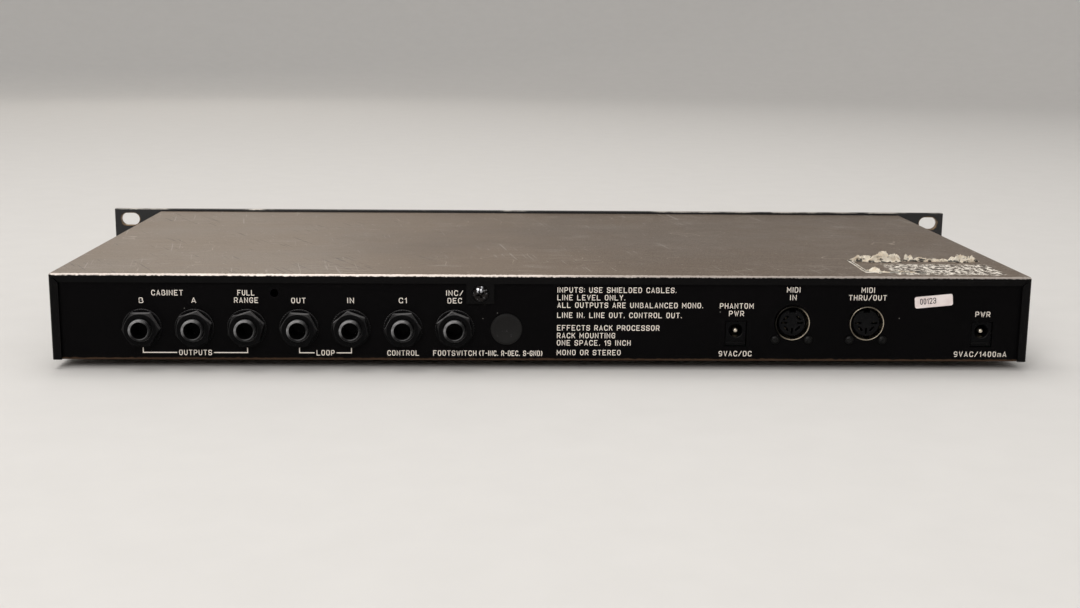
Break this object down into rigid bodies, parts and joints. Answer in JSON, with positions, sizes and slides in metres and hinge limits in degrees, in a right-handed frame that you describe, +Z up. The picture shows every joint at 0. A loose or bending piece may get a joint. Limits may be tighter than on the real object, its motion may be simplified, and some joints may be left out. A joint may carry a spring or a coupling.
{
  "type": "rack effects unit",
  "caption": "Slim black one-space rack effects unit with slotted rack ears, front knobs, buttons and display, and a row of round plug sockets, data sockets and power inlets across its back.",
  "frame": {"origin": "middle of the footprint, on the surface that the rubber feet stand on", "axes": "+Z up, -Y out of the front panel, +Y out of the back with the sockets, +X to the right as seen from the front"},
  "size_m": [0.4826, 0.2342, 0.0442],
  "materials": {
    "black_paint": "black satin paint on folded steel",
    "cover_paint": "finely textured dark paint, worn at the bends",
    "panel_paint": "satin black",
    "black_plastic": "moulded black plastic",
    "plug_plastic": "dull dark plastic",
    "button_plastic": "dark grey plastic",
    "meter_plastic": "dark plastic",
    "rocker_plastic": "glossy black plastic",
    "smoked_lens": "smoked acrylic",
    "module_metal": "pressed metal bezel",
    "zinc": "bright plated",
    "aluminium": "turned",
    "screw_steel": "dark plated steel",
    "black_screw": "blackened steel",
    "rubber": "black rubber",
    "circuit_board": "green solder mask with black and grey parts"
  },
  "bodies": {
    "unit": {"aux_power_socket": "black_plastic", "back_plate": "black_paint", "back_screw": "screw_steel", "cabinet_a_jack": "black_plastic", "cabinet_a_nut": "black_plastic", "cabinet_b_jack": "black_plastic", "cabinet_b_nut": "black_plastic", "chassis_tray": "black_paint", "control_board": "circuit_board", "control_jack": "black_plastic", "control_nut": "black_plastic", "data_in_screw_left": "black_screw", "data_in_screw_right": "black_screw", "data_in_shell": "zinc", "data_in_socket": "black_plastic", "data_out_screw_left": "black_screw", "data_out_screw_right": "black_screw", "data_out_shell": "zinc", "data_out_socket": "black_plastic", "display_module": "module_metal", "display_window": "smoked_lens", "foot_front_left": "rubber", "foot_front_right": "rubber", "foot_rear_left": "rubber", "foot_rear_right": "rubber", "footswitch_jack": "black_plastic", "footswitch_nut": "black_plastic", "front_panel": "panel_paint", "full_range_jack": "black_plastic", "full_range_nut": "black_plastic", "hole_plug": "plug_plastic", "input_jack": "black_plastic", "input_level_control": "zinc", "input_nut": "black_plastic", "level_meter": "meter_plastic", "loop_in_jack": "black_plastic", "loop_in_nut": "black_plastic", "loop_out_jack": "black_plastic", "loop_out_nut": "black_plastic", "main_board": "circuit_board", "output_level_control": "zinc", "power_socket": "black_plastic", "preset_control": "zinc", "side_screw_left_front": "screw_steel", "side_screw_left_rear": "screw_steel", "side_screw_right_front": "screw_steel", "side_screw_right_rear": "screw_steel", "switch_housing": "black_plastic", "top_cover": "cover_paint"},
    "input_level": {"input_level_knob": "black_plastic", "input_level_shaft": "aluminium"},
    "output_level": {"output_level_knob": "black_plastic", "output_level_shaft": "aluminium"},
    "preset": {"preset_knob": "black_plastic", "preset_shaft": "aluminium"},
    "bypass": {"bypass_button": "button_plastic"},
    "edit": {"edit_button": "button_plastic"},
    "store": {"store_button": "button_plastic"},
    "exit": {"exit_button": "button_plastic"},
    "power": {"power_rocker": "rocker_plastic"}
  },
  "joints": [
    {"name": "input_level_turn", "type": "hinge", "parent": "unit", "child": "input_level", "pos_m": [-0.172, -0.1011, 0.02235], "axis": [0, 1, 0], "range_deg": [-150, 150]},
    {"name": "output_level_turn", "type": "hinge", "parent": "unit", "child": "output_level", "pos_m": [-0.144, -0.1011, 0.02235], "axis": [0, 1, 0], "range_deg": [-150, 150]},
    {"name": "preset_turn", "type": "hinge", "parent": "unit", "child": "preset", "pos_m": [0.13, -0.1011, 0.02235], "axis": [0, 1, 0], "continuous": true},
    {"name": "bypass_press", "type": "slide", "parent": "unit", "child": "bypass", "axis": [0, 1, 0], "range_m": [0, 0.0012], "stiffness_N_per_m": 800, "springref_m": -0.001},
    {"name": "edit_press", "type": "slide", "parent": "unit", "child": "edit", "axis": [0, 1, 0], "range_m": [0, 0.0012], "stiffness_N_per_m": 800, "springref_m": -0.001},
    {"name": "store_press", "type": "slide", "parent": "unit", "child": "store", "axis": [0, 1, 0], "range_m": [0, 0.0012], "stiffness_N_per_m": 800, "springref_m": -0.001},
    {"name": "exit_press", "type": "slide", "parent": "unit", "child": "exit", "axis": [0, 1, 0], "range_m": [0, 0.0012], "stiffness_N_per_m": 800, "springref_m": -0.001},
    {"name": "power_rock", "type": "hinge", "parent": "unit", "child": "power", "pos_m": [0.19, -0.0961, 0.02235], "axis": [1, 0, 0], "range_deg": [-16, 0]}
  ]
}
